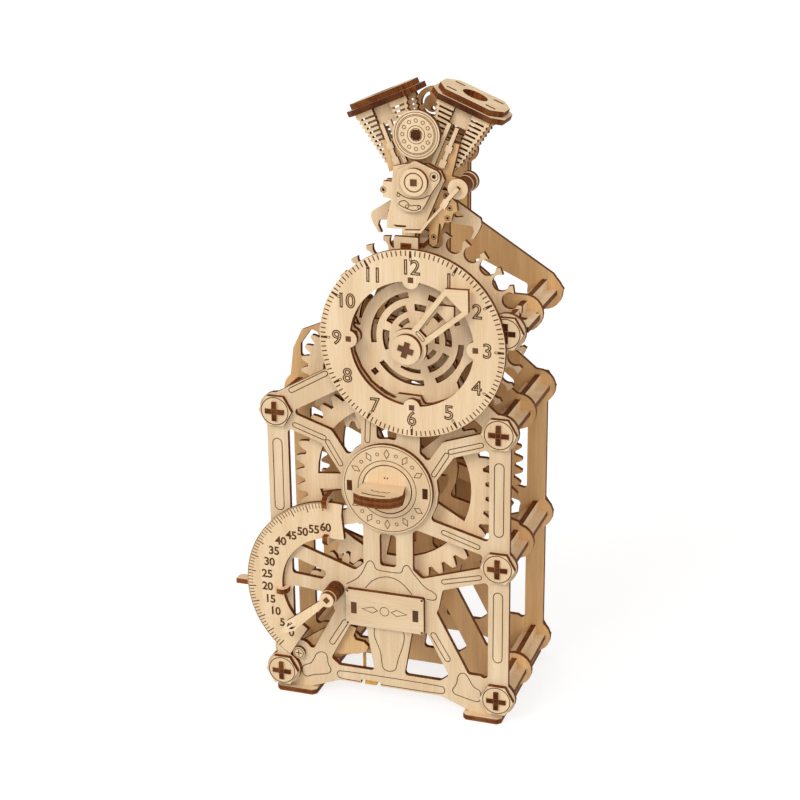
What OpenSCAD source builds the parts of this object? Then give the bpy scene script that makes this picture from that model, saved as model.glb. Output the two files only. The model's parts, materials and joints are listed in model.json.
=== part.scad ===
// Wooden mechanical clock kit with a V-twin engine on top, cut from plywood sheet.
// Millimetres, +Z up. The dial faces -Y. The origin is under the middle of the
// bounding box, on the surface that the feet stand on.

/* [Plywood] */
// Thickness of the plywood sheet
ply = 3; // [2.8:0.1:3.2]
// Radius left in the inside corners of the lattice plates
corner_r = 2; // [1:0.5:2.5]

/* [Frame] */
// Half the distance between the left and right posts
post_half = 62.9; // [62:0.1:64]
// Height of the upper posts above the lower posts
post_rise = 156; // [155:0.5:158]
// Depth of the middle plate's front face behind the front plate's
mid_depth = 35.3; // [35:0.1:36]
// Depth of the back plate's front face behind the front plate's
back_depth = 78.5; // [76:0.5:84]
// Radius of the round lugs that hold the posts
lug_r = 10; // [9.5:0.1:11]

/* [Dial] */
// Outer radius of the hour dial
dial_r = 50.5; // [49:0.5:51]
// Radius of the opening inside the hour dial
dial_hole_r = 33.9; // [33:0.1:34.5]
// Outer radius of the small seconds dial
sec_dial_r = 52.6; // [51:0.2:53]

/* [Wheels] */
// Tip radius of the escape wheel
escape_r = 55; // [54:0.5:55]
// Free space between meshing teeth, measured along the pitch line
backlash = 0.5; // [0.4:0.05:0.6]

/* [Engine] */
// Lean of each cylinder away from upright, in degrees
vee_lean = 22.5; // [22:0.5:23]
// Length of the top plate of a cylinder head
head_len = 36.4; // [36:0.2:37]
// Depth of the top plate of a cylinder head
head_depth = 26.6; // [26:0.2:27]

/* [Motion] */
// Radial play between an arbor and its bore
play = 0.08; // [0.05:0.01:0.10]

/* [Hidden] */

$fn = 48;
T = ply;
rest = 0.02;
foot_drop = 10.5;

// Places across the front, as [x, height above the lower posts]
TL = [-post_half, post_rise];
TR = [post_half, post_rise];
MR = [post_half, 79.4];
BL = [-post_half, 0];
BR = [post_half, 0];
UP = [post_half + 2.9, 211.5];
POSTS = [TL, TR, MR, BL, BR, UP];
hub = [16.3, 202];
key = [1, 118];
sec = [-30.6, 53.4];
swing = [hub[0], 286];
pivot = [-53.6, 10.7];

// Depths of the layers, measured back from the front plate's front face
key_y = -T;
dial_y = -2*T;
hour_wheel_y = T + 1;
front_wheel_y = hour_wheel_y + T + 1;
motion_y = front_wheel_y + T + 1;
escape_y = 19.5;
third_y = escape_y + T + 2;
centre_drive_y = third_y + T + 1.5;
great_y = 52;
ratchet_y = great_y + 2*T + 0.6;
rear_y = back_depth + T;
bob_y = rear_y + 4;
key_reach = 19.8;

// Where the clock's own datum sits: front plate's front face, between the posts,
// level with the lower posts.
crest = [10.7, 1.9];
clip_reach = 91.6;
datum = [(clip_reach - UP[0] - crest[0])/2, -(bob_y + 3*T - T - key_reach)/2, foot_drop + T];

// Sizes of arbors and holes
arbor_r = 3;
sleeve_r = 5;
tube_r = 4.6;
small_r = 2;

// Distance and clock angle from one point to another
function dist(a, b) = norm(b - a);
function bearing_to(a, b) = atan2(b[0] - a[0], b[1] - a[1]);
function round_at(r, a) = [r*sin(a), r*cos(a)];

// Gear pairs share a centre distance, so the module follows from the teeth
great_teeth = 52;
front_teeth = 40;
centre_teeth = 24;
great_m = 2*dist(hub, key)/(great_teeth + centre_teeth);
sec_teeth = 12;
sec_m = 2*dist(sec, key)/(front_teeth + sec_teeth);
hour_teeth = 48;
hour_pinion_teeth = 8;
cannon_teeth = 14;
motion_teeth = 28;
motion_dist = 45;
hour_m = 2*motion_dist/(hour_teeth + hour_pinion_teeth);
motion_m = 2*motion_dist/(cannon_teeth + motion_teeth);
motion_at = hub + round_at(motion_dist, 236);
third_dist = 32;
third_teeth = 30;
third_pinion_teeth = 10;
third_m = 2*third_dist/(third_teeth + third_pinion_teeth);
third_at = hub + round_at(third_dist, 280);

WOOD = [0.90, 0.80, 0.62];
WOOD_DEEP = [0.80, 0.68, 0.49];
WOOD_DARK = [0.62, 0.46, 0.30];
AMBER = [0.80, 0.62, 0.18];

// ---------- placing ----------
// Moves a piece from the clock's datum to the part's origin.
module place() translate(datum) children();

// Stands a flat outline, drawn as seen from the front, at depth y0.
module sheet_at(y0, t = T) translate([0, y0 + t, 0]) rotate([90, 0, 0]) linear_extrude(t) children();

// Round bar along the depth, from y0 to y1.
module bar_y(c, r, y0, y1) translate([c[0], y1, c[1]]) rotate([90, 0, 0]) cylinder(r = r, h = y1 - y0);

// Disc with an optional round hole.
module disc_at(c, r, y0, t = T, hole = 0) difference() {
    bar_y(c, r, y0, y0 + t);
    if (hole > 0) bar_y(c, hole, y0 - 1, y0 + t + 1);
}

// ---------- flat outlines ----------
module at(p) translate(p) children();

// Straight strip of width w between two points.
module strip(a, b, w) {
    d = b - a;
    translate(a) rotate(atan2(d[1], d[0])) translate([0, -w/2]) square([norm(d), w]);
}

// Chain of strips with round joints.
module path(points, w) {
    for (i = [0 : len(points) - 2]) strip(points[i], points[i + 1], w);
    for (i = [1 : len(points) - 2]) at(points[i]) circle(w/2, $fn = 24);
}

// Cross with arms of length r, as cut for two crossed boards.
module cross(r, w = T) {
    square([2*r, w], center = true);
    square([w, 2*r], center = true);
}

// Softens the inside corners of an outline.
module soften(r = corner_r) offset(r = -r, $fn = 24) offset(delta = r) children();

// Ring sector between two radii and two clock angles.
module sector(r0, r1, a0, a1, steps = 16) polygon(concat(
    [for (i = [0 : steps]) round_at(r1, a0 + (a1 - a0)*i/steps)],
    [for (i = [steps : -1 : 0]) round_at(r0, a0 + (a1 - a0)*i/steps)]));

// Windows between the spokes of a wheel.
module windows(n, r0, r1, web, turn = 0) for (i = [0 : n - 1]) {
    half0 = 180/n - web*90/(PI*r0);
    half1 = 180/n - web*90/(PI*r1);
    mid = turn + 360*i/n;
    polygon(concat(
        [for (k = [0 : 8]) round_at(r1, mid - half1 + 2*half1*k/8)],
        [for (k = [4 : -1 : 0]) round_at(r0, mid - half0 + 2*half0*k/4)]));
}

// ---------- teeth ----------
press = 25;
function inv(a) = tan(a) - a*PI/180;
function inv_at(r, rb) = r <= rb ? 0 : inv(acos(rb/r));
// Half the angle of a tooth at radius r, for pitch radius rp and n teeth
function half_tooth(r, rp, n) =
    90/n - backlash*45/(PI*rp) + (inv(press) - inv_at(r, rp*cos(press)))*180/PI;
// Radii at which a tooth's side is drawn
function tooth_radii(rp, m, add, ded) = [rp - ded*m, max(rp - ded*m*0.5, rp*cos(press)), rp, rp + add*m*0.6,
    rp + add*m];
function gear_points(n, m, add, ded, turn) = let (rp = n*m/2, rr = tooth_radii(rp, m, add, ded)) [
    for (i = [0 : n - 1]) for (k = [0 : 9])
        let (j = k < 5 ? k : 9 - k, side = k < 5 ? -1 : 1)
            round_at(rr[j], turn + 360*i/n + side*half_tooth(rr[j], rp, n))];
module gear(n, m, turn, add = 0.85, ded = 1.05) polygon(gear_points(n, m, add, ded, turn));

// Turns that put a tooth of the driver into a gap of the follower
function driver_turn(a, b) = bearing_to(a, b);
function follower_turn(a, b, n) = bearing_to(b, a) + 180/n;

// ---------- frame outlines ----------
// Lattice below the winding key, alike on all three upright plates.
module lower_lattice(post_w) {
    for (s = [-1, 1]) {
        strip([s*9.5, 100], [s*9.5, 64], 9.5);
        strip([s*24, 42], [s*44, 4], 11);
        strip([s*18, 99], [s*post_half, 87], 8.5);
        strip([s*20, 62], [s*post_half, 76], 8.5);
        polygon([[s*66, -foot_drop], [s*47, -foot_drop], [s*30, -4], [s*30, 5.5], [s*38, 12], [s*53, 12],
            [s*63, 6]]);
    }
    strip([-52, 0.7], [52, 0.7], 9.5);
    polygon([[-8.5, 4], [8.5, 4], [14, 36], [-14, 36]]);
    polygon([[-22, 34], [22, 34], [29, 50], [31, 60], [22, 64], [14, 71], [-14, 71], [-22, 64], [-31, 60],
        [-29, 50]]);
    at(key) circle(28);
    strip(BL, [-post_half, 90], post_w);
}

// Lugs that carry the posts.
module lugs(list) for (p = list) at(p) circle(lug_r);

module post_holes(list) for (p = list) at(p) cross(5.45);

// Middle of the round top of the middle plate
arch_at = hub + [-1, 118];

// Radius at which the dial's square pegs stand
peg_r = 34.6;

module front_outline() difference() {
    soften() {
        lower_lattice(12);
        strip([-post_half, 80], TL, 12);
        strip(BR, TR, 11.6);
        lugs(POSTS);
        for (s = [-1, 1]) path([[s*20, 122], [s*34.5, 143.5], [s*60, 152]], 9.5);
        strip([-10, 138], [-10, 172], 8.8);
        strip([12, 138], [13, 172], 13);
        strip([-60, 160], [-26, 179], 13);
        strip([60, 160], [46, 172], 11);
        strip(UP, hub + [40, 8], 16);
        at(hub) difference() {
            circle(46);
            circle(dial_hole_r + 1);
        }
        for (a = [0 : 90 : 270]) at(hub + round_at(peg_r, a)) circle(4.6);
        at(sec) circle(9.5);
        at(pivot) circle(7);
        at(motion_at) circle(5.4);
        strip(sec, [-post_half, 56], 7.5);
        translate([hub[0] - 10.8, 240]) square([13, 17.5]);
    }
    post_holes(POSTS);
    at(pivot) circle(small_r + play);
    translate([-17.2, -6]) square([11.6, 4.4]);
    translate([hub[0] - 7.3, 251.3]) square([6, T + rest]);
    for (s = [-1, 1]) at(key + [s*21.5, 0]) square([T + rest, 6], center = true);
    for (x = [-19.5, 16.5]) at([x, 44.5]) square([3.4, 7], center = true);
    for (a = [0 : 90 : 270]) at(hub + round_at(peg_r, a)) square(T + rest, center = true);
}

module middle_outline() difference() {
    soften() {
        difference() {
            union() {
                lower_lattice(10);
                strip([-post_half, 60], TL, 10);
                strip([20, 136], TR, 12);
                strip([38, 178], TR, 14);
                strip([-20, 136], TL, 12);
                strip([-6, 188], TL, 12);
                strip([40, 212], UP, 20);
                strip([-10, 138], [-2, 172], 10);
                lugs(POSTS);
                at(hub) circle(37);
                translate([hub[0] - 9, 230]) square([17, 82]);
                polygon([hub + [-9, 84], hub + [8, 84], hub + [19, 106], hub + [-20, 106]]);
                at(arch_at) circle(8.7);
                polygon([[-30, 200], [-50.5, 195.6], [-61.3, 191], [-66.7, 180.1], [-69.6, 158], [-56, 158],
                    [-34, 176]]);
                at(sec) circle(9);
            }
            polygon([[-55.6, 192.1], [-62.2, 182.9], [-62.4, 176.1], [-59.3, 174], [-53.6, 173.9],
                [-51, 176.6], [-51.3, 190.1]]);
            at(key) windows(4, 13, 24, 7, 45);
            at(hub) windows(5, 11, 26, 7, 36);
        }
    }
    at(arch_at) {
        translate([0.4, -2.6]) circle(1.2);
        for (a = [150, 262]) sector(4.6, 6.2, a, a + 84, 8);
    }
    post_holes(POSTS);
}

module back_outline() difference() {
    soften() {
        difference() {
            union() {
                lower_lattice(12);
                strip([-post_half, 60], [-post_half, 84], 12);
                strip(BR, TR, 11);
                strip([20, 136], TR, 12);
                strip([26, 186], TR, 14);
                strip([-20, 136], TL, 12);
                strip([6, 188], TL, 12);
                lugs(POSTS);
                at(hub) circle(24);
                at(third_at) circle(7);
                strip(third_at, hub, 14);
                strip(hub, [hub[0] - 2, 240], 14);
                polygon([[4, 262], [14.8, 257.2], UP + [4.5, 10.3], UP + crest, UP + [0, -10],
                    [55.4, 215.5], [31, 226.7], [0, 232]]);
                translate([swing[0] - 7, 245]) square([12, 44]);
                at(swing) circle(7);
            }
            at(key) windows(4, 13, 24, 7, 45);
            at(hub) windows(5, 9, 18, 7, 36);
        }
    }
    post_holes(POSTS);
}

module front_plate() place() color(WOOD) difference() {
    sheet_at(0) front_outline();
    bar_y(key, arbor_r + play, -1, T + 1);
    bar_y(sec, small_r + play, -1, T + 1);
    bar_y(motion_at, small_r + play, -1, T + 1);
    sheet_at(-1, T + 2) at([stem_x - rest, stem_z - rest]) square(T + 2*rest);
}

module middle_plate() place() color(WOOD_DEEP) difference() {
    sheet_at(mid_depth) middle_outline();
    bar_y(key, sleeve_r + play, mid_depth - 1, mid_depth + T + 1);
    bar_y(hub, arbor_r + play, mid_depth - 1, mid_depth + T + 1);
    bar_y(swing, small_r + play, mid_depth - 1, mid_depth + T + 1);
    for (p = [sec, third_at]) bar_y(p, small_r + play, mid_depth - 1, mid_depth + T + 1);
}

module back_plate() place() color(WOOD_DEEP) difference() {
    sheet_at(back_depth) back_outline();
    for (p = [key, hub]) bar_y(p, arbor_r + play, back_depth - 1, rear_y + 1);
    for (p = [swing, third_at]) bar_y(p, small_r + play, back_depth - 1, rear_y + 1);
}

// Post of two crossed boards: wide between the plates, narrow in their slots.
tip = 1;
module post(p, tip_y) {
    sheet_at(tip_y, rear_y + T + tip - tip_y) at(p) cross(5.4, T - 0.06);
    sheet_at(T, mid_depth - T) at(p) cross(7);
    sheet_at(mid_depth + T, back_depth - mid_depth - T) at(p) cross(7);
}

module posts() place() color(WOOD) {
    for (p = [TL, TR, MR, BR]) post(p, -T - tip);
    post(BL, -2*T - tip);
    // The escape wheel's teeth pass through a notch in this one, so its level board is wider
    difference() {
        union() {
            post(UP, -T);
            sheet_at(T + 4, mid_depth - 2*T - 5) at(UP + [3, 0]) square([13, T], center = true);
        }
        disc_at(hub, escape_r + 0.7, escape_y - 0.7, T + 1.4);
    }
}

module nut(p, y0) sheet_at(y0) at(p) difference() {
    circle(9.6, $fn = 6);
    cross(5.45);
}

module front_nuts() place() color(WOOD) {
    for (p = [TL, TR, MR, BR, UP]) nut(p, -T);
    nut(BL, -2*T);
}

module back_nuts() place() color(WOOD) for (p = POSTS) nut(p, rear_y);

// Flat board under one side, from the front edge to behind the back plate.
module foot(x0, x1) translate([x0, -T - 2, -foot_drop - T]) linear_extrude(T) difference() {
    square([x1 - x0, rear_y + 9]);
    for (x = [0, x1 - x0]) translate([x, 0]) rotate(45) square(3, center = true);
}

module left_foot() place() color(WOOD_DEEP) foot(-67, -43);

module right_foot() place() color(WOOD_DEEP) foot(44, 66);

// Blank plate with two tenons through it.
module name_plate() place() color(WOOD) difference() {
    sheet_at(-T) translate([-24.2, 33.9]) difference() {
        square([45.4, 21.6]);
        for (c = [[0, 0], [45.4, 0], [0, 21.6], [45.4, 21.6]]) translate(c) circle(0.7, $fn = 8);
    }
    for (x = [-19.5, 16.5]) sheet_at(-T - 1, T + 2) at([x, 44.5]) square([3.4, 7], center = true);
}

module name_plate_keys() place() color(WOOD_DEEP) for (x = [-19.5, 16.5])
    sheet_at(-T, 2*T) at([x, 44.5]) square([3.36, 6.96], center = true);

// ---------- dials ----------
module hour_dial() place() color(WOOD) sheet_at(dial_y) at(hub) difference() {
    union() {
        difference() {
            circle(dial_r, $fn = 96);
            circle(dial_hole_r, $fn = 96);
        }
        for (a = [0 : 90 : 270]) at(round_at(dial_hole_r + 0.6, a)) circle(4.6, $fn = 32);
    }
    for (a = [0 : 90 : 270]) at(round_at(peg_r, a)) square(T + rest, center = true);
}

// Square pegs with a wide middle between the dial and the front plate.
module dial_spacers() place() color(WOOD_DEEP) for (a = [0 : 90 : 270]) {
    p = hub + round_at(peg_r, a);
    sheet_at(dial_y, 3*T) at(p) square(T, center = true);
    sheet_at(dial_y + T, T) at(p) difference() {
        square(6, center = true);
        square(T, center = true);
    }
}

module key_disc() place() color(WOOD) {
    difference() {
        disc_at(key, 25.5, key_y, T, 14.2);
        for (s = [-1, 1]) sheet_at(key_y - 1, T + 2) at(key + [s*21.5, 0])
            square([T + rest, 6], center = true);
    }
    for (s = [-1, 1]) sheet_at(key_y, 2*T) at(key + [s*21.5, 0]) square([T, 5.9], center = true);
}

ring_in = 31.5;
stem_x = sec[0] - ring_in + 0.5;
stem_z = 48;
// Open ring that carries the seconds scale, from the top right round to the lower left post.
module seconds_dial() place() color(WOOD) sheet_at(-T) difference() {
    soften(0.8) {
        at(sec) sector(ring_in, sec_dial_r, -147, 6, 40);
        polygon([[-30, 105.9], [-26.4, 105.2], [-24.4, 85], [-30, 84.9]]);
        polygon([BL + [-3.5, 16], BL + [-3.5, 4], BL + [3.5, 4], BL + [4.5, 10], [-50, 24], [-56, 30]]);
        at(BL) circle(lug_r);
    }
    at(BL) cross(5.45);
}

// Hooked boards that clamp the scale to the front plate: one level, one upright.
module seconds_dial_clips() place() color(WOOD_DEEP) {
    post_in = 6 - post_half;
    translate([0, 0, stem_z]) linear_extrude(T) polygon([[-clip_reach, rest], [post_in - 12.1, rest],
        [post_in - 12.1, T + rest], [stem_x, T + rest], [stem_x, -T - rest],
        [stem_x - 3.2, -T - rest], [stem_x - 2.8, -2*T], [stem_x + 1, -2*T - 0.4], [stem_x + T, -T - 1],
        [stem_x + T, T + 1.6], [stem_x + 1.6, T + 3.2], [-clip_reach + 1.6, T + 3.2],
        [-clip_reach, T + 1.6]]);
    translate([-36, 0, 0]) rotate([90, 0, 90]) linear_extrude(T) polygon([[T + rest, 81], [T + 3.2, 79.4],
        [T + 3.2, 108], [T + 1.6, 109.6], [-T - 1, 109.6], [-2*T - 0.4, 107.4], [-2*T, 103.6],
        [-T - rest, 103],
        [-T - rest, 106.4], [T + rest, 106.4], [T + rest, 84.3], [-T - rest, 84.3], [-T - rest, 87],
        [-2*T, 86.6], [-2*T - 0.4, 83], [-T - 1, 81]]);
}

// ---------- winding ----------
module winding_key() place() color(WOOD) translate([key[0], key_y, key[1]]) for (z = [-T, rest])
    translate([0, 0, z]) linear_extrude(T - rest) polygon([[-12.6, 0], [-13.3, -16.3], [-8.5, -18.9],
        [-2.7, -key_reach], [3, -key_reach], [7.6, -18.4], [11.4, -14.8], [12.8, -11.6], [10.4, 0]]);

module key_turntable() place() color(WOOD) disc_at(key, 13.6, key_y + rest, T - rest - 0.1, arbor_r);

module winding_arbor() place() color(WOOD_DARK) bar_y(key, arbor_r, key_y + rest, rear_y + 2);

// Saw-toothed wheel that lets the key wind one way.
ratchet_teeth = 24;
module ratchet_wheel() place() color(WOOD_DEEP) difference() {
    sheet_at(ratchet_y) at(key) polygon([for (i = [0 : ratchet_teeth - 1]) each
        [round_at(17, 15*i), round_at(14.6, 15*i + 1.5)]]);
    bar_y(key, arbor_r, ratchet_y - 1, ratchet_y + T + 1);
}

module great_wheel() place() color(WOOD) difference() {
    sheet_at(great_y) at(key) difference() {
        gear(great_teeth, great_m, driver_turn(key, hub));
        windows(5, 16, 46, 8, 0);
    }
    bar_y(key, sleeve_r, great_y - 1, great_y + T + 1);
    bar_y(key + round_at(19.6, 36), small_r, great_y - 1, great_y + T + 1);
}

module front_wheel() place() color(WOOD) difference() {
    sheet_at(front_wheel_y) at(key) difference() {
        gear(front_teeth, sec_m, driver_turn(key, sec), 0.75, 1.2);
        windows(5, 16, 44, 9, 300);
    }
    bar_y(key, sleeve_r, front_wheel_y - 1, front_wheel_y + T + 1);
}

// Sleeve that joins the front wheel to the great wheel around the winding arbor.
module drive_sleeve() place() color(WOOD_DARK) difference() {
    bar_y(key, sleeve_r, front_wheel_y - 0.4, great_y + T + 0.3);
    bar_y(key, arbor_r + play, front_wheel_y - 1, great_y + T + 1);
}

// Click that drops into the ratchet, on its own stud in the great wheel.
module click() place() color(WOOD_DARK) {
    bar_y(key + round_at(19.6, 36), small_r, great_y, ratchet_y + T);
    difference() {
        sheet_at(ratchet_y) path([key + round_at(19.6, 36), key + round_at(18.6, 60)], 2.4);
        bar_y(key + round_at(19.6, 36), small_r, ratchet_y - 1, ratchet_y + T + 1);
    }
}

// ---------- centre train ----------
// Turn of the crossed boards on the centre arbor's end
cross_turn = 16;
module centre_arbor() place() color(WOOD_DARK) {
    bar_y(hub, arbor_r, dial_y - 2*T, rear_y + 1);
    sheet_at(dial_y - 3*T - 0.6, T + 0.6) at(hub) rotate(-cross_turn) cross(4.2, T - rest);
}

module centre_wheel() place() color(WOOD) difference() {
    sheet_at(great_y) at(hub) difference() {
        gear(centre_teeth, great_m, follower_turn(key, hub, centre_teeth));
        windows(5, 9, 20, 6, 0);
    }
    bar_y(hub, arbor_r, great_y - 1, great_y + T + 1);
}

module centre_drive_wheel() place() color(WOOD) difference() {
    sheet_at(centre_drive_y) at(hub) difference() {
        gear(third_teeth, third_m, driver_turn(hub, third_at));
        windows(5, 9, 18, 6, 0);
    }
    bar_y(hub, arbor_r, centre_drive_y - 1, centre_drive_y + T + 1);
}

module cannon_pinion() place() color(WOOD_DEEP) difference() {
    sheet_at(motion_y) at(hub) gear(cannon_teeth, motion_m, driver_turn(hub, motion_at), 0.8);
    bar_y(hub, arbor_r, motion_y - 1, motion_y + T + 1);
}

hand_turn = 44;
// Hollow hand: two slender arms and a right-angled head of half-width w.
module hand_outline(hub_r, reach, w) difference() {
    union() {
        circle(hub_r);
        polygon([[-0.55*w, 4], [-w, reach - w], [0, reach], [w, reach - w], [0.55*w, 4]]);
    }
    polygon([[-0.3*w, hub_r + 1.4], [2.9 - w, reach - w - 2], [w - 2.9, reach - w - 2],
        [0.3*w, hub_r + 1.4]]);
}

module minute_hand() place() color(WOOD) difference() {
    sheet_at(dial_y - 2*T) at(hub) rotate(-hand_turn) hand_outline(10.2, 46.5, 8.6);
    bar_y(hub, arbor_r, dial_y - 2*T - 1, dial_y - T + 1);
}

// Disc on the end of the centre arbor, in front of the hand.
module hand_hub() place() color(WOOD) difference() {
    disc_at(hub, 8, dial_y - 3*T, T - rest);
    sheet_at(dial_y - 3*T - 1, T + 2) at(hub) rotate(-cross_turn) cross(4.2 + rest, T);
}

// Slotted wheel seen through the dial, on a tube that carries the hour hand.
module hour_wheel() place() color(WOOD) difference() {
    union() {
        sheet_at(hour_wheel_y) at(hub) difference() {
            gear(hour_teeth, hour_m, follower_turn(motion_at, hub, hour_teeth), 0.75, 1.1);
            for (a = [[261, 349], [171, 235], [92, 155], [15, 67]]) sector(22.6, 25.7, a[0], a[1], 16);
            for (a = [[297, 341], [247, 282], [356, 376], [30, 50], [65, 98], [113, 159]])
                sector(15.4, 19.1, a[0], a[1], 8);
            sector(16.6, 18.8, 174, 210, 8);
            for (a = [[303, 337], [10, 34], [66, 98], [118, 151], [190, 236]])
                sector(9.7, 12.3, a[0], a[1], 6);
            sector(31.8, 36.6, 279, 345, 12);
            polygon([round_at(32, 105), round_at(29.4, 114), round_at(29.2, 124), round_at(30.6, 135),
                round_at(34.4, 138), round_at(35, 120), round_at(35, 104)]);
            sector(34.6, 37, 201, 216, 6);
            at(round_at(30.8, 230)) rotate(-230) square(T + 0.4, center = true);
        }
        bar_y(hub, tube_r, dial_y - T + 0.1, hour_wheel_y + T);
    }
    bar_y(hub, arbor_r + play, dial_y - T, hour_wheel_y + T + 1);
}

hour_turn = 46;
module hour_hand() place() color(WOOD) difference() {
    sheet_at(dial_y - T + 0.1, T - 0.2) at(hub) rotate(-hour_turn) hand_outline(8.6, 33.4, 6.6);
    bar_y(hub, tube_r, dial_y - 2*T, dial_y + T);
}

module motion_arbor() place() color(WOOD_DARK) {
    bar_y(motion_at, small_r, -1, motion_y + T + 1);
    difference() {
        sheet_at(hour_wheel_y) at(motion_at)
            gear(hour_pinion_teeth, hour_m, driver_turn(motion_at, hub), 0.75, 1.1);
        bar_y(motion_at, small_r, hour_wheel_y - 1, hour_wheel_y + T + 1);
    }
}

module motion_wheel() place() color(WOOD) difference() {
    sheet_at(motion_y) at(motion_at) difference() {
        gear(motion_teeth, motion_m, follower_turn(hub, motion_at, motion_teeth), 0.8);
        windows(4, 8, 19, 6, 0);
    }
    bar_y(motion_at, small_r, motion_y - 1, motion_y + T + 1);
}

// ---------- escapement ----------
module third_arbor() place() color(WOOD_DARK) {
    bar_y(third_at, small_r, third_y - 1, rear_y + 1);
    difference() {
        sheet_at(centre_drive_y) at(third_at) gear(third_pinion_teeth, third_m,
            follower_turn(hub, third_at, third_pinion_teeth));
        bar_y(third_at, small_r, centre_drive_y - 1, centre_drive_y + T + 1);
    }
}

module third_wheel() place() color(WOOD) difference() {
    sheet_at(third_y) at(third_at) difference() {
        gear(third_teeth, third_m, driver_turn(third_at, hub));
        windows(5, 8, 18, 5, 0);
    }
    bar_y(third_at, small_r, third_y - 1, third_y + T + 1);
}

// Escape wheel: mushroom-shaped teeth between round gullets, each with a small tip block.
escape_teeth = 30;
gullet_r = 4.5;
module escape_wheel() place() color(WOOD) difference() {
    sheet_at(escape_y) at(hub) difference() {
        union() {
            circle(escape_r - 2, $fn = 120);
            for (i = [0 : escape_teeth - 1]) rotate(-360*i/escape_teeth) translate([0.6, escape_r - 1.7])
                rotate(-20) square([4.6, 2.2], center = true);
        }
        for (i = [0 : escape_teeth - 1]) rotate(-360*(i + 0.5)/escape_teeth)
            translate([0, escape_r - 4.9]) circle(gullet_r, $fn = 24);
        windows(6, 12, 38, 8, 0);
    }
    bar_y(hub, arbor_r + play, escape_y - 1, escape_y + T + 1);
}

module escape_pinion() place() color(WOOD_DEEP) difference() {
    sheet_at(escape_y + T, third_y - escape_y) at(hub) gear(third_pinion_teeth, third_m,
        follower_turn(third_at, hub, third_pinion_teeth));
    bar_y(hub, arbor_r + play, escape_y, third_y + T + 1);
}

// Two-armed anchor, its pallets just outside the escape wheel's tips.
pallet_r = escape_r + 2.2;
module anchor() place() color(WOOD) difference() {
    sheet_at(escape_y) soften(0.6) {
        for (s = [-1, 1]) difference() {
            polygon([swing + [s*3, 0], swing + [s*8, -5], swing + [s*17.5, -13.4], swing + [s*29.6, -21.2],
                swing + [s*30.2, -24], swing + [s*28.4, -28.4], hub + round_at(pallet_r + 0.8, s*26.6),
                hub + round_at(pallet_r, s*25.2), swing + [s*26.2, -28.2], swing + [s*25.4, -25.4],
                swing + [s*14.5, -24.6], swing + [s*4, -14], swing + [0, -6]]);
            polygon([swing + [s*15.2, -20.4], swing + [s*17.8, -18.2], swing + [s*21.6, -20.6],
                swing + [s*16.4, -21.4]]);
        }
        at(swing) circle(8);
    }
    bar_y(swing, small_r, escape_y - 1, escape_y + T + 1);
}

boss_pin = 3.4;
module anchor_arbor() place() color(WOOD_DARK) {
    bar_y(swing, small_r, T - 0.3, bob_y + 2*T);
    sheet_at(-0.4, T + 0.1) at(swing) square(boss_pin - rest, center = true);
}

// Round boss on the front end of the anchor's arbor.
module cam_boss() place() color(WOOD) difference() {
    disc_at(swing, 7.1, 0, T - 0.3);
    sheet_at(-1, T + 2) at(swing) square(boss_pin, center = true);
}

bob_at = [swing[0], 84];
module pendulum_rod() place() color(WOOD) difference() {
    sheet_at(bob_y + T) soften(1) {
        strip(swing, bob_at - [0, 17], 7);
        at(swing) circle(8);
    }
    bar_y(swing, small_r, rear_y, rear_y + 5*T);
}

module pendulum_bob() place() color(WOOD) for (y = [bob_y + rest, bob_y + 2*T])
    disc_at(bob_at, 20, y, T - rest);

// ---------- seconds ----------
sec_hand_y = -16;
module seconds_arbor() place() color(WOOD_DARK) {
    bar_y(sec, small_r, -T - 0.4, mid_depth + T + 1);
    sheet_at(sec_hand_y - 0.3, -T - 0.1 - sec_hand_y) at(sec) rotate(45) square(3, center = true);
    disc_at(sec, 4.8, -T - 0.4, T, small_r);
}

module seconds_pinion() place() color(WOOD_DEEP) difference() {
    sheet_at(front_wheel_y) at(sec) gear(sec_teeth, sec_m, follower_turn(key, sec, sec_teeth), 0.75, 1.15);
    bar_y(sec, small_r, front_wheel_y - 1, front_wheel_y + T + 1);
}

sec_turn = 229;
module seconds_hand() place() color(WOOD) {
    sheet_at(sec_hand_y) at(sec) rotate(-sec_turn) difference() {
        soften(0.6) {
            circle(4.2);
            polygon([[-1.7, 2], [-3.4, 29], [0, 38.4], [3.4, 29], [1.7, 2]]);
        }
        for (s = [-1, 1]) polygon([[s*0.4, 27], [s*1.9, 26.4], [s*2.1, 29.4], [s*0.8, 31.4]]);
        rotate(sec_turn + 45) square(3, center = true);
    }
    for (y = [sec_hand_y + T, sec_hand_y + 2*T]) difference() {
        disc_at(sec, 4.7, y + rest, T - rest);
        sheet_at(y - 1, T + 2) at(sec) rotate(45) square(3, center = true);
    }
}

// ---------- tension lever ----------
module band_lever() place() color(WOOD_DEEP) difference() {
    sheet_at(T + 0.6) soften(0.6) {
        at(pivot) circle(5);
        polygon([[-54, 6], [-54, 15.4], [-42, 24], [-30, 31], [-20.7, 28.5], [-22.6, 23.5], [-21.3, 20.8],
            [-16.4, 20.2], [-13.8, 17.8], [-15, 14.4], [-20, 12.4], [-36, 10]]);
    }
    bar_y(pivot, small_r, T, 3*T);
}

module lever_pivot() place() color(WOOD_DARK) {
    bar_y(pivot, small_r, -T + 0.4, 2*T + 2);
    disc_at(pivot, 3.5, -T + 0.6, T - 1, small_r);
}

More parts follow.
